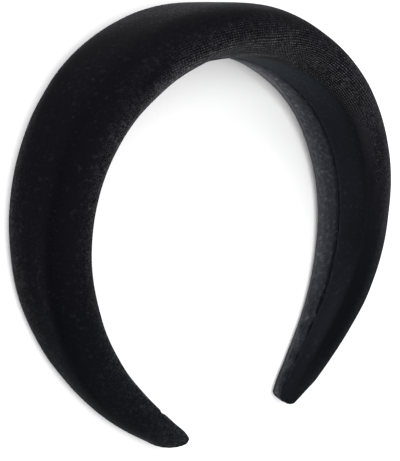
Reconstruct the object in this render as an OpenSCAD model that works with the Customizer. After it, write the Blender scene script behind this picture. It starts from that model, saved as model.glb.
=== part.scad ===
/* [Arch] */
// Length of the band from its crown to one tip, along the inner face
half_length = 180; // [160:1:200]

/* [Pad] */
// Width of the pad at the crown, front to back
crown_width = 54; // [46:1:60]
// Thickness of the pad at the crown
crown_thickness = 19.4; // [15:0.1:22]
// Length over which each tip rounds off
tip_round = 6; // [4:0.5:8]

/* [Turned-in cloth] */
// Thickness of the cloth turned in over the inner face
cloth_thickness = 1; // [0.8:0.1:1.5]
// Width of the open line between the two turned-in edges
seam_gap = 0.8; // [0.5:0.1:1.2]
// Clearance between a turned-in edge and the pad around it
cloth_clearance = 0.3; // [0.2:0.05:0.5]

/* [Hidden] */

velvet_black = [0.035, 0.035, 0.042];
front_flap_black = [0.08, 0.085, 0.095];
rear_flap_black = [0.16, 0.17, 0.18];

// Columns of the station table, whose rows stand evenly from the crown to a tip
TURN = 0;      // degrees that the inner face turns in each tenth of the half band
WIDTH = 1;     // width of the pad, as a share of the crown's
THICKNESS = 2; // thickness of the pad, as a share of the crown's
FLAT = 3;      // width of the flat inner face, as a share of the pad's
SEAM = 4;      // place of the seam: 1 is the front edge of the flat inner face, -1 the rear edge
STATIONS = [
    [10.9, 1.00, 1.000, 0.34, -0.50],
    [15.2, 0.87, 0.850, 0.46, -0.45],
    [21.1, 0.70, 0.655, 0.69, -0.25],
    [17.0, 0.54, 0.680, 0.80, -0.15],
    [ 9.3, 0.35, 0.600, 0.87, -0.12],
    [-3.0, 0.16, 0.365, 0.95, -0.12]
];
last_row = len(STATIONS) - 1;

// Shape of the pad's section
shoulder_depth = 0.465; // depth of the widest line below the inner face, as a share of the thickness
shoulder_power = 1.4;   // 1 is a straight slope, 2 a quarter of an ellipse
outer_power = 2.6;      // above 2 the outer face is fuller than an ellipse
shoulder_steps = 5;
outer_steps = 7;
lip = 0.6;              // pad left standing beside the pocket that the turned-in cloth lies in
pocket_depth = cloth_thickness + cloth_clearance;
cloth_edge = 0.3;       // bevel along the edges of the turned-in cloth

// Stations from the crown to a tip, where the pad rounds off
body_steps = 32;
tip_steps = 5;
tip_power = 2.5;        // how blunt a tip is
tip_sweep = 78;         // degrees of the rounding, before the small flat end of a tip
tip_start = half_length - tip_round;
function tip_stop(i) = tip_start + tip_round * pow(sin(tip_sweep * i / tip_steps), 2 / tip_power);
pocket_end = tip_stop(2);
flap_end = pocket_end - cloth_clearance;
wall = 0.01;            // length over which a pocket's end wall rises
BODY_STOPS = [for (i = [0:body_steps]) tip_start * i / body_steps];
PAD_STOPS = concat(
    BODY_STOPS,
    [tip_stop(1), pocket_end, pocket_end + wall],
    [for (i = [3:tip_steps]) tip_stop(i)]
);
FLAP_STOPS = concat(BODY_STOPS, [tip_stop(1), flap_end]);

// A column's value part of the way down the band, on a smooth curve through the rows, level at the crown
function slope(column, i) =
    i <= 0 ? 0 :
    i >= last_row ? STATIONS[i][column] - STATIONS[i - 1][column] :
    (STATIONS[i + 1][column] - STATIONS[i - 1][column]) / 2;
function along(column, s) =
    let (
        place = s / half_length * last_row,
        i = min(last_row - 1, floor(place)),
        t = place - i
    )
    (2 * pow(t, 3) - 3 * t * t + 1) * STATIONS[i][column]
    + (pow(t, 3) - 2 * t * t + t) * slope(column, i)
    + (3 * t * t - 2 * pow(t, 3)) * STATIONS[i + 1][column]
    + (pow(t, 3) - t * t) * slope(column, i + 1);

// The inner face's line, walked from the crown in short steps: [length, turn, across, down]
walk_steps = 180;
walk_step = half_length / walk_steps;
WALK = [
    for (
        i = 0, turn = 0, bend = 0, across = 0, down = 0;
        i <= walk_steps;
        bend = along(TURN, (i + 0.5) * walk_step) * 10 / walk_steps,
        across = across + walk_step * cos(turn + bend / 2),
        down = down - walk_step * sin(turn + bend / 2),
        turn = turn + bend,
        i = i + 1
    ) [i * walk_step, turn, across, down]
];
TURNED = [for (w = WALK) [w[0], w[1]]];
ACROSS = [for (w = WALK) [w[0], w[2]]];
DOWN = [for (w = WALK) [w[0], w[3]]];

// Sizes of the section at a length from the crown
function narrowing(s) =
    s <= tip_start ? 1 : pow(1 - pow((s - tip_start) / tip_round, tip_power), 1 / tip_power);
function half_width(s) = crown_width / 2 * along(WIDTH, s) * narrowing(s);
function thickness(s) = crown_thickness * along(THICKNESS, s);
function half_flat(s) = half_width(s) * along(FLAT, s);
function seam_line(s) = half_flat(s) * along(SEAM, s);
function pocket(s) = s <= pocket_end ? pocket_depth : 0;

// Half of the pad's section at a length from the crown, as [depth, half width] from inner face to outer
function half_section(s) =
    let (
        w = half_width(s),
        flat = half_flat(s),
        deep = thickness(s) * shoulder_depth,
        rest = thickness(s) - deep
    )
    [
        [pocket(s), flat - lip],
        [0, flat - lip],
        for (i = [0:shoulder_steps])
            let (a = 90 * i / shoulder_steps)
            [
                deep * (1 - pow(cos(a), 2 / shoulder_power)),
                flat + (w - flat) * pow(sin(a), 2 / shoulder_power)
            ],
        for (i = [1:outer_steps])
            let (a = 90 * i / outer_steps)
            [
                deep + rest * pow(sin(a), 2 / outer_power),
                w * pow(cos(a), 2 / outer_power)
            ]
    ];
function pad_section(s) =
    let (half = half_section(s), top = len(half) - 1)
    concat(half, [for (i = [top - 1:-1:0]) [half[i][0], -half[i][1]]]);

// Section of a turned-in cloth between two places across the inner face, with bevelled edges
function cloth_section(low, high) = [
    [cloth_thickness, low],
    [cloth_edge, low],
    [0, low + cloth_edge],
    [0, high - cloth_edge],
    [cloth_edge, high],
    [cloth_thickness, high]
];
function edge_line(s) = half_flat(s) - lip - cloth_clearance;
function front_section(s) = cloth_section(seam_line(s) + seam_gap / 2, edge_line(s));
function rear_section(s) = cloth_section(-edge_line(s), seam_line(s) - seam_gap / 2);

// A point of the standing band: signed length from the crown, depth from the inner face, place front to back
function standing(s, depth, z) =
    let (
        side = s < 0 ? -1 : 1,
        turn = lookup(abs(s), TURNED),
        middle = thickness(abs(s)) * shoulder_depth,
        out = middle + (depth - middle) * narrowing(abs(s))
    )
    [
        side * (lookup(abs(s), ACROSS) + out * sin(turn)),
        lookup(abs(s), DOWN) + out * cos(turn),
        z
    ];
function both_ways(stops) = concat([for (i = [len(stops) - 1:-1:1]) -stops[i]], stops);

// The band lies on its side, leaned about X until the crown and the limbs touch the surface together
PAD_STANDING = [
    for (s = both_ways(PAD_STOPS))
        for (p = pad_section(abs(s)))
            standing(s, p[0], p[1])
];
middle_down = (max([for (p = PAD_STANDING) p[1]]) + min([for (p = PAD_STANDING) p[1]])) / 2;
UPPER = [for (p = PAD_STANDING) if (p[1] > middle_down && p[2] < 0) p];
LOWER = [for (p = PAD_STANDING) if (p[1] <= middle_down && p[2] < 0) p];
function lowest(points, lean) = min([for (p = points) p[1] * sin(lean) + p[2] * cos(lean)]);
function settled(least, most, tries) =
    let (lean = (least + most) / 2)
    tries == 0 ? lean :
    lowest(UPPER, lean) < lowest(LOWER, lean) ? settled(lean, most, tries - 1) :
    settled(least, lean, tries - 1);
rest_lean = settled(0, 20, 14);
function leaned(p) = [
    p[0],
    p[1] * cos(rest_lean) - p[2] * sin(rest_lean),
    p[1] * sin(rest_lean) + p[2] * cos(rest_lean)
];
PAD_LEANED = [for (p = PAD_STANDING) leaned(p)];
BACK = [for (p = PAD_LEANED) p[1]];
middle_back = (max(BACK) + min(BACK)) / 2;
lowest_point = min([for (p = PAD_LEANED) p[2]]);
function laid(s, depth, z) = leaned(standing(s, depth, z)) - [0, middle_back, lowest_point];

// Skin over rings of points, closed by a flat end at each tip
module skin(rings) {
    n = len(rings[0]);
    last = len(rings) - 1;
    points = [for (ring = rings) for (p = ring) p];
    sides = [
        for (i = [0:last - 1])
            for (j = [0:n - 1])
                let (a = i * n + j, b = i * n + (j + 1) % n)
                for (face = [[a, b, b + n], [a, b + n, a + n]])
                    face
    ];
    polyhedron(
        points,
        concat(sides, [[for (j = [n - 1:-1:0]) j]], [[for (j = [0:n - 1]) last * n + j]]),
        convexity = 6
    );
}

module padded_band() {
    color(velvet_black)
        skin([for (s = both_ways(PAD_STOPS)) [for (p = pad_section(abs(s))) laid(s, p[0], p[1])]]);
}

module front_flap() {
    color(front_flap_black)
        skin([for (s = both_ways(FLAP_STOPS)) [for (p = front_section(abs(s))) laid(s, p[0], p[1])]]);
}

module rear_flap() {
    color(rear_flap_black)
        skin([for (s = both_ways(FLAP_STOPS)) [for (p = rear_section(abs(s))) laid(s, p[0], p[1])]]);
}

padded_band();
front_flap();
rear_flap();
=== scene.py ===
import math

import bpy
import numpy as np
from mathutils import Matrix, Vector


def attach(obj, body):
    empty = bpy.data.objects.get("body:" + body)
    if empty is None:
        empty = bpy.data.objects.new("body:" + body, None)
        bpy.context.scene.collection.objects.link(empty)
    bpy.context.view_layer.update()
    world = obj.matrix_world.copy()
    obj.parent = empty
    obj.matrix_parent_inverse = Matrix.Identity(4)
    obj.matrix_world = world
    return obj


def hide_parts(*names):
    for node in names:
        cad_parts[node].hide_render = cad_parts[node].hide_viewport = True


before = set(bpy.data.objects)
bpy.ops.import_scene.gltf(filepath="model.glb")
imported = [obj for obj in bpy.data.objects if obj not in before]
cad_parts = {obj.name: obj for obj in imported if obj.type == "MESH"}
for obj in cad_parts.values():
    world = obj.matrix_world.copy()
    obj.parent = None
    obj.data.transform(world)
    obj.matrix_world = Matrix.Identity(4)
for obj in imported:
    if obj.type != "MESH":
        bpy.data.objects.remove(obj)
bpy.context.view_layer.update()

MM = 0.001

# Sizes of the band and the shape of its section, the same as the CAD's
HALF_LENGTH = 180 * MM
CROWN_WIDTH = 54 * MM
CROWN_THICKNESS = 19.4 * MM
TIP_ROUND = 6 * MM
TIP_START = HALF_LENGTH - TIP_ROUND
SHOULDER_DEPTH = 0.465
SHOULDER_CURVE = 1.4
OUTER_CURVE = 2.6
LIP = 0.6 * MM
CLOTH_THICKNESS = 1.0 * MM
# The open line between the two turned-in edges, finer than the CAD's
SEAM_GAP = 0.5 * MM

# Columns of the table of sections, whose rows stand evenly from the crown to a tip: the degrees that
# the inner face turns in each tenth of the half band, the width and the thickness as shares of the
# crown's, the flat inner face as a share of the width, and the seam's place from 1 at the front of
# the flat face to -1 at its rear. The seam lies a little further back at the crown than the CAD's.
# The turn, the thickness and the middle rows of the flat face are a least-squares fit to the photo's
# outline, rounded, and the other values were set round it
TURN, WIDTH, THICKNESS, FLAT, SEAM = range(5)
STATIONS = np.array([
    [10.9, 1.00, 1.000, 0.34, -0.62],
    [15.2, 0.87, 0.850, 0.46, -0.50],
    [21.1, 0.70, 0.655, 0.69, -0.25],
    [17.0, 0.54, 0.680, 0.80, -0.15],
    [9.3, 0.35, 0.600, 0.87, -0.12],
    [-3.0, 0.16, 0.365, 0.95, -0.12],
])
LAST_ROW = len(STATIONS) - 1
TURN_PARTS = 10
# The inner face is walked in steps of a millimetre, a few of them past a tip's end
WALK_STEPS = 180
STEPS_PAST = 3

# Columns of the table of tip ends: how far past the CAD's a tip reaches, how much further its front
# side goes for each part of the width, how far it closes towards the front and at what depth, and then
# how long and with what power the width, the inner face and the outer face round off. Both rows are a
# least-squares fit to the tips' outlines in the photo, rounded, but for how far the right tip reaches
(
    PAST, LEAD, AIM, MIDDLE,
    WIDTH_REACH, WIDTH_POWER, INNER_REACH, INNER_POWER, OUTER_REACH, OUTER_POWER,
) = range(10)
LEFT_TIP = [0.2 * MM, 0.2, 0.80, 0.13, 4.9 * MM, 2.8, 5.5 * MM, 1.4, 8.6 * MM, 1.6]
RIGHT_TIP = [0.9 * MM, 0.2, 0.42, 0.16, 2.0 * MM, 1.7, 2.1 * MM, 2.6, 13.3 * MM, 1.3]
LEAD_REACH = 9 * MM

# How finely the cover is made
BODY_RINGS = 500
TIP_RINGS = 16
TIP_SWEEP = math.radians(88)
PAD_AROUND = 184
CLOTH_AROUND = 72
# How far past the half band the turned-in edges still have rings
CLOTH_PAST = 0.5 * MM


def smooth_step(values, start, end):
    """0 before start, 1 after end, smooth between them"""
    share = np.clip((values - start) / (end - start), 0, 1)
    return share * share * (3 - 2 * share)


def within(values, low, high, fade):
    """1 between low and high, fading to 0 over the width of fade outside them"""
    return smooth_step(values, low - fade, low) * (1 - smooth_step(values, high, high + fade))


def along(column, lengths):
    """A column's value at signed lengths from the crown, on a smooth curve through the rows"""
    rows = STATIONS[:, column]
    slopes = np.gradient(rows)
    slopes[0] = 0
    place = np.abs(lengths) / HALF_LENGTH * LAST_ROW
    i = np.minimum(LAST_ROW - 1, place.astype(int))
    t = place - i
    return (
        (2 * t**3 - 3 * t**2 + 1) * rows[i]
        + (t**3 - 2 * t**2 + t) * slopes[i]
        + (3 * t**2 - 2 * t**3) * rows[i + 1]
        + (t**3 - t**2) * slopes[i + 1]
    )


def inner_line(lengths):
    """Turn, across and down of the inner face's line at signed lengths from the crown"""
    step = HALF_LENGTH / WALK_STEPS
    steps = WALK_STEPS + STEPS_PAST
    bends = np.radians(along(TURN, (np.arange(steps) + 0.5) * step)) * TURN_PARTS / WALK_STEPS
    turns = np.concatenate([[0], np.cumsum(bends)])
    between = turns[:-1] + bends / 2
    across = np.concatenate([[0], np.cumsum(np.cos(between))]) * step
    down = -np.concatenate([[0], np.cumsum(np.sin(between))]) * step
    walked = np.arange(steps + 1) * step
    return [np.interp(np.abs(lengths), walked, values) for values in (turns, across, down)]


def tip_value(column, lengths):
    """A column of the table of tip ends, for the side that each length is on"""
    return np.where(lengths < 0, LEFT_TIP[column], RIGHT_TIP[column])


def closing(lengths, reach_column, power_column):
    """How open the section still is towards a tip: 1 along the body, 0 at the very end"""
    reach, power = tip_value(reach_column, lengths), tip_value(power_column, lengths)
    end = HALF_LENGTH + tip_value(PAST, lengths)
    share = np.clip((np.abs(lengths) - end + reach) / reach, 0, 1)
    return (1 - share**power) ** (1 / power)


def crown_place():
    """The middle of the crown's inner face, its outward direction and its direction to the front"""
    off_middle, digits = 1e-5, 7
    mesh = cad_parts["padded_band"].data
    ring = [np.round(v.co, digits) for v in mesh.vertices if abs(v.co.x) < off_middle]
    ring = np.unique(ring, axis=0)
    apart = np.linalg.norm(ring[:, None] - ring[None], axis=2)
    ends = ring[list(np.unravel_index(apart.argmax(), apart.shape))]
    rear, front = ends[np.argsort(ends[:, 2])]
    to_front = (front - rear) / np.linalg.norm(front - rear)
    outward = np.cross(to_front, [1, 0, 0])
    middle = (front + rear) / 2
    return middle + outward * ((ring - middle) @ outward).min(), outward, to_front


CROWN, UP, TO_FRONT = crown_place()


def point_values(mesh, name):
    values = np.zeros(len(mesh.vertices), np.float32)
    mesh.attributes[name].data.foreach_get("value", values)
    return values


def store(mesh, name, values):
    """Adds a point attribute: one number or one vector for each point"""
    kind, field = ("FLOAT", "value") if values.ndim == 1 else ("FLOAT_VECTOR", "vector")
    attribute = mesh.attributes.new(name, kind, "POINT")
    attribute.data.foreach_set(field, values.astype(np.float32).ravel())


def ring_stops():
    """Signed lengths of the cover's rings, closer together where a tip rounds off"""
    body = np.linspace(-TIP_START, TIP_START, BODY_RINGS + 1)
    sweep = TIP_SWEEP * np.arange(1, TIP_RINGS + 1) / TIP_RINGS
    left, right = (TIP_START + (TIP_ROUND + tip[PAST]) * np.sin(sweep) for tip in (LEFT_TIP, RIGHT_TIP))
    return np.concatenate([-left[::-1], body, right])


def band_line(stops):
    """The inner face's line as a chain of edges that carries the sizes which a sweep reads"""
    turn, across, down = inner_line(stops)
    side = np.sign(stops)
    x_axis = np.array([1.0, 0, 0])
    towards_tip = np.outer(side * np.cos(turn), x_axis) - np.outer(np.sin(turn), UP)
    lead = tip_value(LEAD, stops) * smooth_step(np.abs(stops), HALF_LENGTH - LEAD_REACH, HALF_LENGTH)
    points = CROWN + np.outer(side * across, x_axis) + np.outer(down, UP)
    open_width = CROWN_WIDTH / 2 * along(WIDTH, stops)
    half_width = open_width * closing(stops, WIDTH_REACH, WIDTH_POWER)
    points += np.outer((open_width - half_width) * tip_value(AIM, stops), TO_FRONT)
    mesh = bpy.data.meshes.new("band_line")
    edges = [(i, i + 1) for i in range(len(stops) - 1)]
    mesh.from_pydata(points.tolist(), edges, [])
    half_flat = half_width * along(FLAT, stops)
    carried = {
        "outward": np.outer(side * np.sin(turn), x_axis) + np.outer(np.cos(turn), UP),
        "to_front": TO_FRONT + towards_tip * lead[:, None],
        "along": stops,
        "inner_closing": closing(stops, INNER_REACH, INNER_POWER),
        "outer_closing": closing(stops, OUTER_REACH, OUTER_POWER),
        "tip_middle": tip_value(MIDDLE, stops),
        "thickness": CROWN_THICKNESS * along(THICKNESS, stops),
        "half_width": half_width,
        "half_flat": half_flat,
        "seam": half_flat * along(SEAM, stops),
    }
    for name, values in carried.items():
        store(mesh, name, values)
    return mesh


class Nodes:
    """Adds nodes to one tree, each by one call that gives the node's output back"""

    def __init__(self, tree):
        self.tree = tree

    def feed(self, socket, value):
        if isinstance(value, bpy.types.NodeSocket):
            self.tree.links.new(value, socket)
        else:
            socket.default_value = value

    def add(self, kind, inputs=None, output=0, **settings):
        node = self.tree.nodes.new(kind)
        for name, value in settings.items():
            setattr(node, name, value)
        for key, value in (inputs or {}).items():
            self.feed(node.inputs[key], value)
        return node.outputs[output]

    def math(self, operation, *values):
        return self.add("ShaderNodeMath", dict(enumerate(values)), operation=operation)

    def plus(self, first, *others):
        total = first
        for value in others:
            total = self.math("ADD", total, value)
        return total

    def times(self, first, *others):
        product = first
        for value in others:
            product = self.math("MULTIPLY", product, value)
        return product

    def minus(self, a, b):
        return self.math("SUBTRACT", a, b)

    def absolute(self, value):
        return self.math("ABSOLUTE", value)

    def rounded(self, angle, power):
        """Cosine and sine of an angle on a curve, which is straight at power 1 and an ellipse at 2"""
        return [self.math("POWER", self.math(kind, angle), 2 / power) for kind in ("COSINE", "SINE")]

    def ramp(self, value, start, end, low=0.0, high=1.0, smooth=False):
        """Goes from low to high as value goes from start to end, and stays there"""
        inputs = {"Value": value, "From Min": start, "From Max": end, "To Min": low, "To Max": high}
        kind = "SMOOTHSTEP" if smooth else "LINEAR"
        return self.add("ShaderNodeMapRange", inputs, interpolation_type=kind)

    def scaled(self, vector, amount):
        return self.add("ShaderNodeVectorMath", {"Vector": vector, "Scale": amount}, operation="SCALE")

    def joined(self, *vectors):
        """The sum of several vectors"""
        total = vectors[0]
        for vector in vectors[1:]:
            total = self.add("ShaderNodeVectorMath", {0: total, 1: vector}, operation="ADD")
        return total

    def wave(self, turns):
        """Swings from 1 at whole turns to 0 half way between them"""
        return self.plus(0.5, self.times(self.math("COSINE", self.times(turns, 2 * math.pi)), 0.5))

    def strayed(self, noise, most):
        """A noise round one half made a distance to either side, of less than half of most"""
        return self.times(self.minus(noise, 0.5), most)

    def group(self, tree, inputs):
        """Places a node group and gives all its outputs"""
        node = self.tree.nodes.new("ShaderNodeGroup")
        node.node_tree = tree
        for name, value in inputs.items():
            self.feed(node.inputs[name], value)
        return node.outputs

    def carried(self, name, kind="FLOAT"):
        """A named attribute of the geometry, in a geometry tree"""
        return self.add("GeometryNodeInputNamedAttribute", {"Name": name}, data_type=kind)

    def painted(self, name, output="Fac"):
        """A named attribute of the geometry, in a material"""
        return self.add("ShaderNodeAttribute", output=output, attribute_name=name)


def new_tree(name, kind, inputs, outputs):
    """A node group with named sockets: rows of (name, socket type, value) and (name, socket type)"""
    tree = bpy.data.node_groups.new(name, kind)
    for label, socket, *value in inputs:
        made = tree.interface.new_socket(label, in_out="INPUT", socket_type="NodeSocket" + socket)
        if value:
            made.default_value = value[0]
    for label, socket in outputs:
        tree.interface.new_socket(label, in_out="OUTPUT", socket_type="NodeSocket" + socket)
    given = tree.nodes.new("NodeGroupInput").outputs
    result = tree.nodes.new("NodeGroupOutput").inputs
    return Nodes(tree), given, result


def grown(name, tree, source, sizes):
    """The plain mesh object that a geometry tree makes from a source mesh"""
    holder = bpy.data.objects.new(name + "_source", source)
    bpy.context.collection.objects.link(holder)
    modifier = holder.modifiers.new(tree.name, "NODES")
    modifier.node_group = tree
    sockets = {
        item.name: item.identifier
        for item in tree.interface.items_tree
        if item.item_type == "SOCKET" and item.in_out == "INPUT"
    }
    for label, value in sizes.items():
        modifier[sockets[label]] = value
    evaluated = holder.evaluated_get(bpy.context.evaluated_depsgraph_get())
    mesh = bpy.data.meshes.new_from_object(evaluated)
    bpy.data.objects.remove(holder)
    mesh.name = name
    piece = bpy.data.objects.new(name, mesh)
    bpy.context.collection.objects.link(piece)
    return piece


def swept(nodes, given):
    """The band's line swept into a skin with closed ends. Its points keep the line's place and sizes"""
    position = nodes.add("GeometryNodeInputPosition")
    line = nodes.add(
        "GeometryNodeStoreNamedAttribute",
        {"Geometry": given["Geometry"], "Name": "line_point", "Value": position},
        data_type="FLOAT_VECTOR",
    )
    curve = nodes.add("GeometryNodeMeshToCurve", {"Mesh": line})
    circle = {"Resolution": given["Around"], "Radius": 1.0}
    ring = nodes.add("GeometryNodeCurvePrimitiveCircle", circle)
    share = nodes.add("GeometryNodeSplineParameter", output="Factor")
    shares = {"Geometry": ring, "Name": "share", "Value": share}
    ring = nodes.add("GeometryNodeStoreNamedAttribute", shares)
    sweep = {"Curve": curve, "Profile Curve": ring, "Fill Caps": True}
    return nodes.add("GeometryNodeCurveToMesh", sweep)


def placed(nodes, skin, depth, across):
    """Moves a swept skin's points to their depth from the inner face and their place across it"""
    thickness = nodes.carried("thickness")
    middle = nodes.times(thickness, nodes.carried("tip_middle"))
    towards_outer = nodes.ramp(depth, middle, thickness, 0, 1)
    open_still = nodes.plus(
        nodes.times(nodes.minus(1, towards_outer), nodes.carried("inner_closing")),
        nodes.times(towards_outer, nodes.carried("outer_closing")),
    )
    closed = nodes.times(nodes.minus(depth, middle), open_still)
    out = nodes.scaled(nodes.carried("outward", "FLOAT_VECTOR"), nodes.plus(middle, closed))
    over = nodes.scaled(nodes.carried("to_front", "FLOAT_VECTOR"), across)
    where = nodes.joined(nodes.carried("line_point", "FLOAT_VECTOR"), out, over)
    return nodes.add("GeometryNodeSetPosition", {"Geometry": skin, "Position": where})


def finished(nodes, skin, given, inside_out):
    """The end of each geometry tree: smooth, real geometry with its material, its faces outwards"""
    skin = nodes.add("GeometryNodeFlipFaces", {"Mesh": skin, "Selection": inside_out})
    smooth = nodes.add("GeometryNodeSetShadeSmooth", {"Geometry": skin})
    real = nodes.add("GeometryNodeRealizeInstances", {"Geometry": smooth})
    return nodes.add("GeometryNodeSetMaterial", {"Geometry": real, "Material": given["Material"]})


def pad_section(nodes, given):
    """Depth and place across of the pad's section: a flat inner face with a pocket, sloping shoulders
    and a full outer face"""
    flat_share, shoulder_share = given["Flat Share"], given["Shoulder Share"]
    mirrored = nodes.minus(nodes.times(nodes.carried("share"), 2), 1)
    side = nodes.math("SIGN", nodes.times(mirrored, -1))
    up_side = nodes.minus(1, nodes.absolute(mirrored))
    flat_part = nodes.ramp(up_side, 0, flat_share)
    shoulder = nodes.ramp(up_side, flat_share, shoulder_share, 0, math.pi / 2)
    outer = nodes.ramp(up_side, shoulder_share, 1, 0, math.pi / 2)
    shoulder_cos, shoulder_sin = nodes.rounded(shoulder, SHOULDER_CURVE)
    outer_cos, outer_sin = nodes.rounded(outer, OUTER_CURVE)
    half_flat, half_width = nodes.carried("half_flat"), nodes.carried("half_width")
    beside = nodes.times(nodes.minus(half_width, half_flat), shoulder_sin)
    across = nodes.times(nodes.plus(nodes.times(half_flat, flat_part), beside), outer_cos)
    thickness = nodes.carried("thickness")
    to_shoulder = nodes.times(thickness, SHOULDER_DEPTH)
    to_outer = nodes.minus(thickness, to_shoulder)
    edge = nodes.minus(half_flat, LIP)
    slope_end = nodes.minus(edge, given["Pocket Slope"])
    pocket = nodes.ramp(across, edge, slope_end, 0, given["Pocket Depth"], smooth=True)
    depth = nodes.plus(
        nodes.times(to_shoulder, nodes.minus(1, shoulder_cos)),
        nodes.times(to_outer, outer_sin),
        nodes.times(pocket, nodes.math("LESS_THAN", up_side, flat_share)),
    )
    return depth, nodes.times(across, side)


def gathered(nodes, given, skin):
    """Pushes the pad's skin in and out: a soft unevenness all over, and pleats gathered at the tips"""
    normal = nodes.add("GeometryNodeInputNormal")
    uneven = {"Scale": given["Unevenness Scale"], "Detail": 2.0, "Roughness": 0.45}
    swell = nodes.add("ShaderNodeTexNoise", uneven)
    reach = given["Pleat Length"]
    from_tip = nodes.minus(HALF_LENGTH, nodes.absolute(nodes.carried("along")))
    near_tip = nodes.ramp(from_tip, reach, nodes.times(reach, given["Pleat Start"]), smooth=True)
    turns = nodes.times(nodes.carried("share"), given["Pleats"])
    pleats = nodes.wave(nodes.plus(turns, nodes.times(swell, given["Pleat Stray"])))
    push = nodes.strayed(swell, nodes.times(given["Unevenness"], 2))
    push = nodes.minus(push, nodes.times(pleats, near_tip, given["Pleat Depth"]))
    pushed = {"Geometry": skin, "Offset": nodes.scaled(normal, push)}
    return nodes.add("GeometryNodeSetPosition", pushed)


def pad_tree():
    """Sweeps the pad along the band"""
    nodes, given, result = new_tree(
        "swept_pad",
        "GeometryNodeTree",
        [
            ("Geometry", "Geometry"),
            ("Around", "Int", PAD_AROUND),
            ("Flat Share", "Float", 0.20),
            ("Shoulder Share", "Float", 0.47),
            ("Pocket Depth", "Float", 1.1 * MM),
            ("Pocket Slope", "Float", 1.0 * MM),
            ("Unevenness", "Float", 0.25 * MM),
            ("Unevenness Scale", "Float", 34.0),
            ("Pleats", "Float", 21.0),
            ("Pleat Depth", "Float", 0.3 * MM),
            ("Pleat Length", "Float", 14 * MM),
            ("Pleat Start", "Float", 0.3),
            ("Pleat Stray", "Float", 2.5),
            ("Material", "Material"),
        ],
        [("Geometry", "Geometry")],
    )
    skin = placed(nodes, swept(nodes, given), *pad_section(nodes, given))
    skin = gathered(nodes, given, skin)
    nodes.feed(result["Geometry"], finished(nodes, skin, given, True))
    return nodes.tree


def seam_line(nodes, given):
    """How open the seam still is towards a tip, and the place across of one edge's wavering cut"""
    side, seam_end = given["Side"], given["Seam End"]
    length = nodes.carried("along")
    open_still = nodes.ramp(
        nodes.absolute(length),
        nodes.minus(seam_end, given["Seam Closing"]),
        seam_end,
        1,
        given["Seam Closed"],
        smooth=True,
    )
    half_gap = nodes.times(given["Seam Gap"], open_still, nodes.times(side, 0.5))
    # Each side reads the noise at a place of its own
    where = nodes.plus(length, nodes.times(side, given["Waver Apart"]))
    noise = {"W": where, "Scale": given["Waver Scale"], "Detail": 3.0}
    waver = nodes.add("ShaderNodeTexNoise", noise, noise_dimensions="1D")
    waver = nodes.strayed(waver, nodes.times(given["Seam Waver"], 2))
    return open_still, nodes.plus(nodes.carried("seam"), half_gap, waver)


def turned_section(nodes, given):
    """Depth and place across of a turned-in edge's section, rounded off at the lip and at the seam"""
    side = given["Side"]
    mirrored = nodes.minus(nodes.times(nodes.carried("share"), 2), 1)
    towards_seam = nodes.minus(1, nodes.absolute(mirrored))
    eased = nodes.minus(1, nodes.math("COSINE", nodes.times(towards_seam, math.pi)))
    lip_edge = nodes.times(nodes.carried("half_flat"), given["Lip Share"], side)
    open_still, seam_edge = seam_line(nodes, given)
    reached = nodes.times(nodes.minus(seam_edge, lip_edge), nodes.times(eased, 0.5))
    across = nodes.plus(lip_edge, reached)
    half = nodes.times(given["Thickness"], 0.5)
    from_lip = nodes.absolute(nodes.minus(across, lip_edge))
    from_seam = nodes.absolute(nodes.minus(across, seam_edge))
    lip_near = nodes.math("DIVIDE", from_lip, half)
    seam_near = nodes.math("DIVIDE", from_seam, nodes.times(half, open_still))
    nearest = nodes.math("MINIMUM", nodes.math("MINIMUM", lip_near, seam_near), 1)
    near = nodes.minus(1, nearest)
    bulge = nodes.math("MAXIMUM", nodes.minus(1, nodes.times(near, near)), 0)
    under = nodes.math("GREATER_THAN", mirrored, 0)
    face = nodes.times(half, nodes.minus(nodes.times(under, 2), 1))
    up_down = nodes.times(nodes.math("SQRT", bulge), face)
    sunk = nodes.ramp(from_lip, 0, given["Sunk Reach"], given["Sunk"], 0, smooth=True)
    return nodes.plus(half, up_down, sunk), across


def turned_tree():
    """Sweeps one turned-in edge of the cloth, from the lip it sinks under to its cut at the seam"""
    nodes, given, result = new_tree(
        "turned_cloth",
        "GeometryNodeTree",
        [
            ("Geometry", "Geometry"),
            ("Around", "Int", CLOTH_AROUND),
            ("Side", "Float", 1.0),
            ("Thickness", "Float", CLOTH_THICKNESS),
            ("Lip Share", "Float", 0.97),
            ("Seam Gap", "Float", SEAM_GAP),
            ("Seam Waver", "Float", 0.45 * MM),
            ("Waver Scale", "Float", 260.0),
            ("Waver Apart", "Float", 0.35),
            ("Seam End", "Float", 150 * MM),
            ("Seam Closing", "Float", 12 * MM),
            ("Seam Closed", "Float", 0.1),
            ("Sunk", "Float", 0.05 * MM),
            ("Sunk Reach", "Float", 1.2 * MM),
            ("Material", "Material"),
        ],
        [("Geometry", "Geometry")],
    )
    skin = placed(nodes, swept(nodes, given), *turned_section(nodes, given))
    on_rear = nodes.math("LESS_THAN", given["Side"], 0)
    nodes.feed(result["Geometry"], finished(nodes, skin, given, on_rear))
    return nodes.tree


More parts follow.
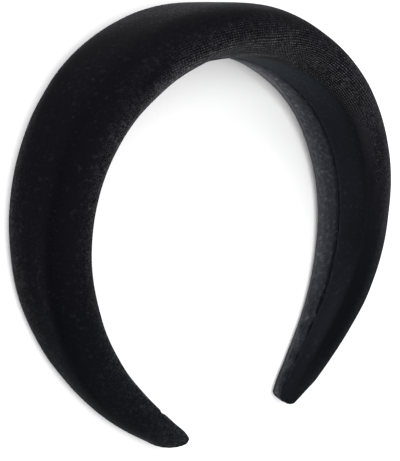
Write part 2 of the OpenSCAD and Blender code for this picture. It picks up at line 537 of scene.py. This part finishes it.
def knit_rows_group():
    """Rows of the knitted ground that show through open pile, as light loops in rows; 1 on average"""
    nodes, given, result = new_tree(
        "knit_rows",
        "ShaderNodeTree",
        [
            ("Cloth", "Vector"),
            ("Row Pitch", "Float", 0.85 * MM),
            ("Loop Pitch", "Float", 1.05 * MM),
            ("Slant", "Float", 0.04),
            ("Waver", "Float", 0.7 * MM),
        ],
        [("Loops", "Float")],
    )
    row_power, between_loops, on_loops, to_average = 1.5, 0.25, 1.5, 2.3
    place = nodes.tree.nodes.new("ShaderNodeSeparateXYZ")
    nodes.feed(place.inputs[0], given["Cloth"])
    length, around = place.outputs["X"], place.outputs["Y"]
    uneven = {"Vector": given["Cloth"], "Scale": 110.0, "Detail": 1.0}
    drift = nodes.strayed(nodes.add("ShaderNodeTexNoise", uneven), given["Waver"])
    across_rows = nodes.plus(around, nodes.times(length, given["Slant"]), drift)
    row = nodes.wave(nodes.math("DIVIDE", across_rows, given["Row Pitch"]))
    loop = nodes.wave(nodes.math("DIVIDE", nodes.plus(length, drift), given["Loop Pitch"]))
    light = nodes.plus(between_loops, nodes.times(loop, on_loops))
    loops = nodes.times(nodes.math("POWER", row, row_power), light, to_average)
    nodes.feed(result["Loops"], loops)
    return nodes.tree


def pile_grain_group():
    """Speckle of the pile: bright tufts among darker ones, and soft crushed places; 1 on average.
    The sparser the bright ones are, the higher the peak that keeps the average"""
    nodes, given, result = new_tree(
        "pile_grain",
        "ShaderNodeTree",
        [
            ("Vector", "Vector"),
            ("Tuft Size", "Float", 0.42 * MM),
            ("Tuft Contrast", "Float", 0.5),
            ("Crushed Size", "Float", 1.7 * MM),
            ("Crushed Contrast", "Float", 0.3),
            ("Sparseness", "Float", 2.0),
            ("Peak", "Float", 3.3),
        ],
        [("Tone", "Float"), ("Height", "Float")],
    )
    dimmest, brightest = 0.28, 0.72
    tone, height = 1.0, 0.0
    for kind in ("Tuft", "Crushed"):
        scale = nodes.math("DIVIDE", 1.0, given[kind + " Size"])
        fine = {"Vector": given["Vector"], "Scale": scale, "Detail": 1.5, "Roughness": 0.6}
        noise = nodes.add("ShaderNodeTexNoise", fine)
        caught = nodes.math("POWER", nodes.ramp(noise, dimmest, brightest), given["Sparseness"])
        spread = nodes.minus(nodes.times(caught, given["Peak"]), 1)
        tone = nodes.plus(tone, nodes.times(spread, given[kind + " Contrast"]))
        height = nodes.plus(height, noise)
    nodes.feed(result["Tone"], nodes.math("MAXIMUM", tone, 0.0))
    nodes.feed(result["Height"], height)
    return nodes.tree


KNIT_ROWS = knit_rows_group()
PILE_GRAIN = pile_grain_group()
PILE_RELIEF = 0.05 * MM
# Sparseness and peak of the speckle, on the dark ground and on the lighter pile with its painted light
# and shade
GROUND_SPECKLE = (7.0, 12.5)
RAISED_SPECKLE = (2.0, 3.3)
# The faint sheen of standing fibres
SHEEN = 0.05
SHEEN_ROUGHNESS = 0.3
SHEEN_TINT = (0.93, 0.96, 1.0, 1)
# What the ground colour gains where it is cooler
COOLER = (-0.0006, 0.0002, 0.0)
# The share of the knit that still shows in the places where it shows least
LEAST_KNIT = 0.45


def velvet(name, ground, nap_and_light_tone, ground_grain, raised_grain):
    """Velvet: a dark ground, lighter pile where it is brushed open together with painted highlights,
    painted sheen and painted shade, and the sheen of upright fibres.
    Each grain is the contrast of single tufts and that of crushed places"""
    material = bpy.data.materials.new(name)
    material.use_nodes = True
    nodes = Nodes(material.node_tree)
    shader = material.node_tree.nodes["Principled BSDF"]
    shader.inputs["Roughness"].default_value = 1.0
    shader.inputs["Specular IOR Level"].default_value = 0.0
    shader.inputs["Sheen Weight"].default_value = SHEEN
    shader.inputs["Sheen Roughness"].default_value = SHEEN_ROUGHNESS
    shader.inputs["Sheen Tint"].default_value = SHEEN_TINT
    place = nodes.add("ShaderNodeTexCoord", output="Object")
    grain = nodes.painted("grain")

    def speckle(contrasts, kind):
        sparseness, peak = kind
        inputs = {"Vector": place, "Sparseness": sparseness, "Peak": peak}
        for size, contrast in zip(("Tuft", "Crushed"), contrasts):
            inputs[size + " Contrast"] = nodes.times(grain, contrast)
        return nodes.group(PILE_GRAIN, inputs)

    on_ground = speckle(ground_grain, GROUND_SPECKLE)
    on_raised = speckle(raised_grain, RAISED_SPECKLE)
    # The knit shows less in some places than in others
    patchy = nodes.add("ShaderNodeTexNoise", {"Vector": place, "Scale": 130.0, "Detail": 1.0})
    rows = nodes.times(nodes.painted("rows"), nodes.ramp(patchy, 0.32, 0.52, LEAST_KNIT, 1))
    loops = nodes.group(KNIT_ROWS, {"Cloth": nodes.painted("cloth", "Vector")})["Loops"]
    knit = nodes.plus(1, nodes.times(rows, nodes.minus(loops, 1)))
    flat = nodes.joined(ground, nodes.scaled(COOLER, nodes.painted("cool")))
    flat = nodes.scaled(flat, on_ground["Tone"])
    # Lighter pile where it is brushed open, together with painted highlights, painted sheen and painted
    # shade
    nap_and_light = nodes.scaled(nap_and_light_tone, nodes.times(nodes.painted("nap_and_painted_light"), on_raised["Tone"]))
    nodes.feed(shader.inputs["Base Color"], nodes.scaled(nodes.joined(flat, nap_and_light), knit))
    height = nodes.plus(on_ground["Height"], nodes.times(rows, loops))
    relief = {"Height": nodes.times(height, PILE_RELIEF), "Distance": 1.0}
    nodes.feed(shader.inputs["Normal"], nodes.add("ShaderNodeBump", relief))
    return material


FLOOR_REACH = 3.0
PAPER = (0.84, 0.84, 0.84, 1)
LAMP_SIZE = 1.2
# Each lamp's name, its power in watts and its place. It points at the band
LAMPS = [
    ("softbox", 24, (-0.9, 0, 1.4)),
    ("crown_softbox", 10, (-0.7, 1.2, 0.9)),
]


def floor():
    """White paper under the band"""
    corners = [(x * FLOOR_REACH, y * FLOOR_REACH, 0) for x, y in ((-1, -1), (1, -1), (1, 1), (-1, 1))]
    mesh = bpy.data.meshes.new("floor")
    mesh.from_pydata(corners, [], [(0, 1, 2, 3)])
    piece = bpy.data.objects.new("floor", mesh)
    bpy.context.collection.objects.link(piece)
    white = bpy.data.materials.new("white_paper")
    white.use_nodes = True
    paper = white.node_tree.nodes["Principled BSDF"]
    paper.inputs["Base Color"].default_value = PAPER
    paper.inputs["Roughness"].default_value = 1.0
    paper.inputs["Specular IOR Level"].default_value = 0.0
    mesh.materials.append(white)


def studio():
    """Soft studio light: a white world and two large lamps"""
    scene = bpy.context.scene
    scene.view_settings.view_transform = "Standard"
    world = bpy.data.worlds.new("studio")
    world.use_nodes = True
    world.node_tree.nodes["Background"].inputs["Color"].default_value = (1, 1, 1, 1)
    world.node_tree.nodes["Background"].inputs["Strength"].default_value = 1.0
    scene.world = world
    for name, energy, place in LAMPS:
        light = bpy.data.lights.new(name, "AREA")
        light.shape = "DISK"
        light.size = LAMP_SIZE
        light.energy = energy
        lamp = bpy.data.objects.new(name, light)
        lamp.location = place
        lamp.rotation_mode = "QUATERNION"
        lamp.rotation_quaternion = Vector(place).to_track_quat("Z", "Y")
        bpy.context.collection.objects.link(lamp)


# The camera's values were fitted to the photo's outline together with the band's sizes
CAMERA_AZIMUTH = math.radians(-97.93)
CAMERA_ELEVATION = math.radians(46.95)
CAMERA_ROLL = math.radians(83.62)
CAMERA_DISTANCE = 821.2 * MM
CAMERA_TARGET = Vector((-2.34, -4.02, 12.88)) * MM
# In millimetres, as Blender has them
SENSOR_WIDTH = 36
LENS = 188.5


def photo_camera():
    """The camera where the photo was taken from, in the frame of the resting band"""
    data = bpy.data.cameras.new("camera")
    data.sensor_width = SENSOR_WIDTH
    data.lens = LENS
    camera = bpy.data.objects.new("camera", data)
    back = Vector((
        math.sin(CAMERA_AZIMUTH) * math.cos(CAMERA_ELEVATION),
        -math.cos(CAMERA_AZIMUTH) * math.cos(CAMERA_ELEVATION),
        math.sin(CAMERA_ELEVATION),
    ))
    camera.location = CAMERA_TARGET + back * CAMERA_DISTANCE
    camera.rotation_mode = "QUATERNION"
    upright = back.to_track_quat("Z", "Y")
    camera.rotation_quaternion = upright @ Matrix.Rotation(CAMERA_ROLL, 3, "Z").to_quaternion()
    bpy.context.collection.objects.link(camera)
    bpy.context.scene.camera = camera


# Columns of a table of soft patches: their middle along the band in millimetres, from the left tip's
# side at minus to the right tip's at plus, and as a share of the way round the ring, which starts in
# the middle of the inner face and goes by the front; how far they reach each way; and how much they
# add at their middle
LENGTH, ROUND, LENGTH_REACH, ROUND_REACH, ADDED = range(5)

# Pile brushed open on the pad, which shows lighter, or laid flat, which shows darker, and painted light
# and shade: each row is one such place in the velvet, fitted to the photo. First the fold into the
# hollow at the crown, with painted sheen along it and painted light in the shade under the lip
PAD_NAP_AND_LIGHT = [
    [-66, 0.212, 12, 0.018, 2.6],
    [-60, 0.192, 22, 0.020, 14],
    [-48, 0.178, 9, 0.010, 9.0],
    [-44, 0.235, 29, 0.042, 5.2],
    [-38, 0.270, 6, 0.022, -3.5],
    [-33, 0.300, 6, 0.020, -1.5],
    [-30, 0.310, 12, 0.060, 1.5],
    [-29, 0.193, 13, 0.022, 17],
    [-25, 0.200, 10, 0.022, 5.0],
    [-9, 0.130, 5, 0.014, 30],
    [0, 0.119, 9, 0.010, 34],
    [4, 0.190, 16, 0.022, 5.5],
    [4, 0.260, 14, 0.050, 2.3],
    [12, 0.137, 9, 0.003, 30],
    [16, 0.225, 4, 0.015, 3.5],
    [18, 0.180, 14, 0.035, 4.3],
    [24, 0.120, 6, 0.012, -3.0],
    [24, 0.290, 10, 0.040, 1.0],
    [34, 0.125, 16, 0.030, 2.0],
    [38, 0.130, 11, 0.050, 1.7],
]
# The crown's outer face, with a painted highlight along its top rim and painted shade where the sheen
# shows too bright
PAD_NAP_AND_LIGHT += [
    [-43, 0.620, 8, 0.034, -2.0],
    [-40, 0.500, 12, 0.040, 0.6],
    [-26, 0.570, 7, 0.025, -1.0],
    [-14, 0.578, 8, 0.030, 4.5],
    [-12, 0.472, 7, 0.018, 2.0],
    [-9, 0.432, 6, 0.020, -1.4],
    [-5, 0.530, 9, 0.034, 8.0],
    [4, 0.460, 9, 0.034, 15],
    [15, 0.388, 5, 0.014, 9.0],
]
# The left limb, with painted sheen along its edge by the hollow and along its outer edge, and painted
# shade low on the outer edge near the tip
PAD_NAP_AND_LIGHT += [
    [-184, 0.330, 11, 0.140, 10.5],
    [-182, 0.500, 8, 0.080, 9.0],
    [-160, 0.106, 26, 0.010, 9.0],
    [-152, 0.475, 13, 0.025, -3.0],
    [-150, 0.115, 40, 0.022, 11],
    [-150, 0.170, 40, 0.045, 2.5],
    [-142, 0.320, 18, 0.130, 1.2],
    [-136, 0.475, 9, 0.020, -1.2],
    [-132, 0.545, 6, 0.015, 4.0],
    [-128, 0.530, 12, 0.025, 4.0],
    [-120, 0.420, 14, 0.100, -0.5],
    [-110, 0.145, 14, 0.022, 8.0],
    [-108, 0.595, 12, 0.030, 4.0],
    [-104, 0.485, 14, 0.014, 1.6],
    [-100, 0.420, 40, 0.035, -0.5],
    [-96, 0.580, 16, 0.035, 1.7],
    [-88, 0.445, 26, 0.015, -0.5],
    [-82, 0.640, 30, 0.025, 9.0],
]
# The right limb's front shoulder, with painted sheen along its outer edge, and the rear shoulder beside
# its turned edge, with painted rim light
PAD_NAP_AND_LIGHT += [
    [60, 0.182, 26, 0.055, 8.3],
    [65, 0.235, 7, 0.020, 4.0],
    [79, 0.278, 27, 0.026, 14.5],
    [86, 0.218, 8, 0.015, -2.0],
    [94, 0.145, 6, 0.020, -1.2],
    [104, 0.262, 11, 0.036, 7.2],
    [130, 0.075, 50, 0.022, 3.8],
    [140, 0.285, 28, 0.028, 5.5],
    [172, 0.260, 8, 0.040, 2.5],
    [182, 0.180, 11, 0.120, 2.0],
    [42, 0.890, 12, 0.035, 50],
    [62, 0.875, 13, 0.030, 28],
    [92, 0.875, 15, 0.022, 16],
    [169, 0.880, 6, 0.040, -12],
    [183, 0.880, 8, 0.040, -18],
]
# The same on the turned-in edges, by the distance from the lip as a share of the ring, with painted
# light over the seam's shadow and on the rear edge near the crown, and painted shade where the sheen
# shows too bright
FRONT_NAP_AND_LIGHT = [
    [-6, 0.100, 8, 0.150, 8.0],
    [24, 0.200, 8, 0.120, -4.3],
    [30, 0.380, 10, 0.060, 2.2],
    [36, 0.310, 18, 0.200, 3.8],
    [45, 0.380, 12, 0.150, 4.5],
    [62, 0.150, 12, 0.150, 1.3],
    [95, 0.100, 22, 0.120, -1.0],
    [100, 0.200, 10, 0.200, 0.8],
    [100, 0.450, 70, 0.040, 3.5],
    [116, 0.200, 9, 0.080, -1.5],
    [128, 0.250, 18, 0.250, -1.4],
    [140, 0.150, 20, 0.200, 2.6],
    [172, 0.250, 10, 0.250, -1.3],
]
REAR_NAP_AND_LIGHT = [
    [30, 0.310, 7, 0.150, 6.0],
    [40, 0.210, 10, 0.060, 15],
    [40, 0.420, 6, 0.060, 9.0],
    [44, 0.090, 10, 0.060, 5.0],
    [46, 0.430, 9, 0.040, 9.0],
    [50, 0.210, 12, 0.070, 12],
    [54, 0.270, 10, 0.040, 3.5],
    [60, 0.260, 10, 0.050, 4.0],
    [68, 0.240, 14, 0.060, 3.2],
    [115, 0.205, 7, 0.030, -3.0],
    [121, 0.150, 4, 0.040, 4.0],
    [124, 0.180, 7, 0.080, 3.0],
    [124, 0.260, 14, 0.050, 3.0],
    [125, 0.360, 14, 0.060, -1.6],
    [134, 0.120, 8, 0.050, -8.0],
    [146, 0.180, 7, 0.040, -2.5],
    [147, 0.270, 4, 0.030, -3.5],
    [147, 0.420, 6, 0.060, -2.0],
    [148, 0.250, 24, 0.300, -2.6],
    [151, 0.205, 3, 0.030, 5.0],
    [152, 0.120, 14, 0.050, -8.0],
    [157, 0.320, 8, 0.040, 4.0],
    [158, 0.430, 12, 0.060, -2.5],
    [164, 0.235, 4, 0.050, 3.5],
    [165, 0.460, 10, 0.050, 4.0],
    [168, 0.270, 6, 0.120, -2.5],
    [172, 0.300, 7, 0.250, -1.6],
    [178, 0.150, 4, 0.120, 8.0],
]

# Where the padding is fuller or thinner: millimetres that the pad stands proud. First beside the
# hollow, from the left tip to the crown
SWELLS = [
    [-162, 0.105, 14, 0.030, 0.28],
    [-162, 0.105, 0.9, 0.030, -0.40],
    [-148, 0.105, 5, 0.030, 0.12],
    [-130, 0.105, 4, 0.030, 0.13],
    [-108, 0.120, 7, 0.030, 0.30],
    [-78, 0.165, 32, 0.035, 0.33],
    [-36, 0.170, 6, 0.030, 0.33],
    [-4, 0.122, 8, 0.035, -0.60],
    [1, 0.110, 3, 0.030, -0.40],
]
# The outer face, from the left tip over the crown and down the right limb
SWELLS += [
    [-173, 0.565, 4, 0.050, -0.20],
    [-156, 0.585, 8, 0.050, 0.33],
    [-130, 0.630, 3, 0.050, -0.17],
    [-105, 0.660, 5, 0.050, 0.15],
    [-85, 0.680, 40, 0.050, 0.13],
    [-46, 0.670, 3, 0.050, -0.20],
    [-31, 0.655, 7, 0.050, 0.24],
    [-12, 0.620, 3, 0.050, -0.12],
    [10, 0.520, 5, 0.050, -0.45],
    [22, 0.430, 6, 0.050, 0.36],
    [42, 0.360, 6, 0.040, -0.70],
    [54, 0.330, 5, 0.040, -0.22],
    [75, 0.310, 12, 0.040, 0.50],
    [91, 0.305, 5, 0.040, 0.12],
    [108, 0.315, 4, 0.040, -0.20],
    [124, 0.320, 13, 0.040, 0.42],
    [137, 0.330, 5, 0.040, 0.24],
]
# The rear shoulder inside the right limb
SWELLS += [
    [22, 0.895, 4, 0.030, -0.85],
    [48, 0.857, 11, 0.040, 0.62],
    [88, 0.856, 8, 0.040, 0.20],
    [104, 0.868, 12, 0.040, -0.08],
    [126, 0.886, 10, 0.040, 0.15],
    [150, 0.895, 12, 0.040, 0.12],
    [167, 0.895, 8, 0.040, 0.42],
]
# The front turned edge lies flatter where it runs through under the crown's lip
THINNED = [[-5, 0.500, 7, 1.0, -0.35]]


def patched(patches, lengths, share):
    """The sum of soft patches at each point: a table's last column, fading with distance"""
    total = np.zeros_like(lengths)
    for patch in patches:
        off = (lengths / MM - patch[LENGTH]) / patch[LENGTH_REACH]
        aside = (share - patch[ROUND]) / patch[ROUND_REACH]
        total += patch[ADDED] * np.exp(-(off**2 + aside**2) / 2)
    return total


def places(piece):
    """Each point's signed length along the band, and its share of the way round the ring"""
    return point_values(piece.data, "along"), point_values(piece.data, "share")


def swollen(piece, swells):
    """Moves the points outwards or inwards in soft swells, where the padding is fuller or thinner"""
    mesh = piece.data
    points = np.zeros(len(mesh.vertices) * 3, np.float32)
    normals = np.zeros_like(points)
    mesh.vertices.foreach_get("co", points)
    mesh.vertex_normals.foreach_get("vector", normals)
    height = patched(swells, *places(piece)) * MM
    moved = points.reshape(-1, 3) + normals.reshape(-1, 3) * height[:, None]
    mesh.vertices.foreach_set("co", moved.ravel())
    mesh.update()


# Where the fold into the hollow ends, as a share of the ring, and how much the cloth stretches there
FOLD_END = 0.22
FOLD_STRETCH = 0.5


def lay_cloth(piece, around):
    """Gives each point its place on the unstretched cloth: length along the band, distance round it"""
    mesh = piece.data
    points = np.zeros(len(mesh.vertices) * 3, np.float32)
    mesh.vertices.foreach_get("co", points)
    rings = points.reshape(-1, around, 3)
    steps = np.linalg.norm(np.diff(rings, axis=1), axis=2)
    girth = np.concatenate([np.zeros((len(rings), 1)), np.cumsum(steps, axis=1)], axis=1)
    lengths = point_values(mesh, "along")
    # The crown's cloth is stretched where it folds into the hollow, so its rows lie wider apart there
    fold = girth[:, [round(FOLD_END * around)]]
    at_crown = within(lengths.reshape(-1, around), -45 * MM, 12 * MM, 26 * MM)
    kept = np.where(girth < fold, 1 - FOLD_STRETCH * at_crown, 1)
    girth = (fold + (girth - fold) * kept).ravel()
    store(mesh, "cloth", np.stack([lengths, girth, np.zeros_like(girth)], axis=1))


# The knitted ground's strength where it shows most
KNIT_STRENGTH = 0.75
# How much lighter the pad's rear shoulder and the rear edge's lip are, where the pile stands up and
# painted rim light is added, how much the pile stands up on to the rear edge's seam, how much less that
# last is near a tip, and how much it is pressed flat along the front edge's lip
SHOULDER_NAP_AND_LIGHT = 38
REAR_LIP_NAP_AND_LIGHT = 21
REAR_SEAM_LIFT = 10
LESS_BY_TIP = 4
FRONT_LIP_PRESS = 2.4
# Laid flat or painted darker, the pile takes no more than this from the ground
PAD_DARKEST = -3
EDGE_DARKEST = -6
# How much of the pad's speckle goes where the pile lies smoothest
SMOOTHED = 0.8
# How much cooler than the pad the turned-in edges are at the crown
EDGE_COOL = 2.5


def knit_showing(lengths, share):
    """How far the knitted ground shows through the pile: most on the crown's hollow side"""
    at_crown = within(lengths, -18 * MM, 58 * MM, 24 * MM)
    past_lip = smooth_step(share, 0.07, 0.10)
    over_fold = 1 - smooth_step(share, 0.20, 0.38)
    return KNIT_STRENGTH * at_crown * past_lip * over_fold


def pad_grain(lengths, share):
    """How strong the pad's speckle is: the pile lies smooth on the rear side and down the right limb"""
    rear = smooth_step(share, 0.72, 0.82)
    inside = within(lengths, 62 * MM, 200 * MM, 10 * MM) * (1 - smooth_step(share, 0.15, 0.18))
    below = 0.7 * smooth_step(lengths, 90 * MM, 100 * MM)
    outside = 0.45 * within(lengths, 58 * MM, 200 * MM, 12 * MM) * smooth_step(share, 0.19, 0.22)
    return 1 - SMOOTHED * np.max([rear, inside, below, outside], axis=0)


def pad_nap_and_light(lengths, share):
    """The pad's pile stands up on the rear shoulder, as far as the lip of the turned edge, with painted
    rim light there; the patches add brushed pile and painted light and shade
    """
    shoulder = smooth_step(share, 0.80, 0.93) * (1 - smooth_step(share, 0.93, 0.95))
    return patched(PAD_NAP_AND_LIGHT, lengths, share) + SHOULDER_NAP_AND_LIGHT * shoulder


def front_nap_and_light(lengths, from_lip):
    """The front edge's pile is pressed flat along the lip; its patches add brushed pile and painted
    light and shade
    """
    pressed = 1 - smooth_step(from_lip, 0, 0.22)
    return patched(FRONT_NAP_AND_LIGHT, lengths, from_lip) - FRONT_LIP_PRESS * pressed


def rear_nap_and_light(lengths, from_lip):
    """The rear edge's pile stands up along the lip, with painted rim light there, and less and less
    towards the seam, in soft lobes where the two edges close up; its patches add brushed pile and
    painted light and shade"""
    from_crown = np.abs(lengths)
    lobes = np.sin(lengths / (1.7 * MM)) + 0.6 * np.sin(lengths / (1.0 * MM) + 1)
    waved = from_lip + 0.045 * smooth_step(from_crown, 128 * MM, 150 * MM) * lobes
    by_lip = REAR_LIP_NAP_AND_LIGHT * (1 - smooth_step(waved, 0.10, 0.30))
    seam_lift = REAR_SEAM_LIFT - LESS_BY_TIP * smooth_step(from_crown, 142 * MM, 158 * MM)
    by_seam = seam_lift * (1 - smooth_step(waved, 0.36, 0.44))
    return patched(REAR_NAP_AND_LIGHT, lengths, from_lip) + by_lip + by_seam


def brush_and_paint_pad(pad):
    """Stores how the pad's pile lies, with its painted light and shade, for its velvet to read"""
    lengths, share = places(pad)
    store(pad.data, "nap_and_painted_light", np.maximum(pad_nap_and_light(lengths, share), PAD_DARKEST))
    store(pad.data, "grain", pad_grain(lengths, share))
    store(pad.data, "rows", knit_showing(lengths, share))
    store(pad.data, "cool", smooth_step(np.abs(lengths), 85 * MM, 135 * MM))


def brush_and_paint_edge(edge, edge_nap_and_light):
    """The same on a turned-in edge, where no knit shows"""
    lengths, share = places(edge)
    from_lip = np.minimum(share, 1 - share)
    store(edge.data, "nap_and_painted_light", np.maximum(edge_nap_and_light(lengths, from_lip), EDGE_DARKEST))
    store(edge.data, "grain", np.ones_like(share))
    store(edge.data, "rows", np.zeros_like(share))
    store(edge.data, "cool", EDGE_COOL * (1 - smooth_step(np.abs(lengths), 45 * MM, 65 * MM)))


def flap_cut(stops, side):
    """The flat size of a turned-in edge: its widest place and its length, and then its area"""
    half_flat = CROWN_WIDTH / 2 * along(WIDTH, stops) * along(FLAT, stops)
    half_flat *= closing(stops, WIDTH_REACH, WIDTH_POWER)
    widths = half_flat - side * half_flat * along(SEAM, stops)
    area = float((widths[1:] + widths[:-1]) @ np.diff(stops) / 2)
    return (float(widths.max()), float(stops[-1] - stops[0])), area


photo_camera()
floor()
studio()

outer_velvet = velvet(
    "outer_velvet",
    ground=(0.0035, 0.0033, 0.0045),
    nap_and_light_tone=(0.00110, 0.00108, 0.00118),
    ground_grain=(0.04, 0.07),
    raised_grain=(1.15, 0.35),
)
front_velvet = velvet(
    "front_turned_velvet",
    ground=(0.0074, 0.0079, 0.0101),
    nap_and_light_tone=(0.00106, 0.00112, 0.00145),
    ground_grain=(0.03, 0.05),
    raised_grain=(0.2, 0.2),
)
rear_velvet = velvet(
    "rear_turned_velvet",
    ground=(0.0088, 0.0092, 0.0119),
    nap_and_light_tone=(0.00109, 0.00112, 0.00126),
    ground_grain=(0.05, 0.10),
    raised_grain=(0.2, 0.3),
)

stops = ring_stops()
pad = grown("velvet_pad", pad_tree(), band_line(stops), {"Material": outer_velvet})
swollen(pad, SWELLS)
lay_cloth(pad, PAD_AROUND)
brush_and_paint_pad(pad)

turned = turned_tree()
edge_stops = stops[np.abs(stops) < HALF_LENGTH + CLOTH_PAST]
edge_line = band_line(edge_stops)
front_edge = grown("front_turned_edge", turned, edge_line, {"Material": front_velvet, "Side": 1.0})
rear_edge = grown("rear_turned_edge", turned, edge_line, {"Material": rear_velvet, "Side": -1.0})
swollen(front_edge, THINNED)
for edge, edge_nap_and_light in ((front_edge, front_nap_and_light), (rear_edge, rear_nap_and_light)):
    lay_cloth(edge, CLOTH_AROUND)
    brush_and_paint_edge(edge, edge_nap_and_light)

for piece, node, slot in (
    (pad, "padded_band", "outer_velvet"),
    (front_edge, "front_flap", "front_turned_velvet"),
    (rear_edge, "rear_flap", "rear_turned_velvet"),
):
    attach(piece, "root")
    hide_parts(node)
for piece, side in ((front_edge, 1), (rear_edge, -1)):
    flat, area = flap_cut(edge_stops, side)
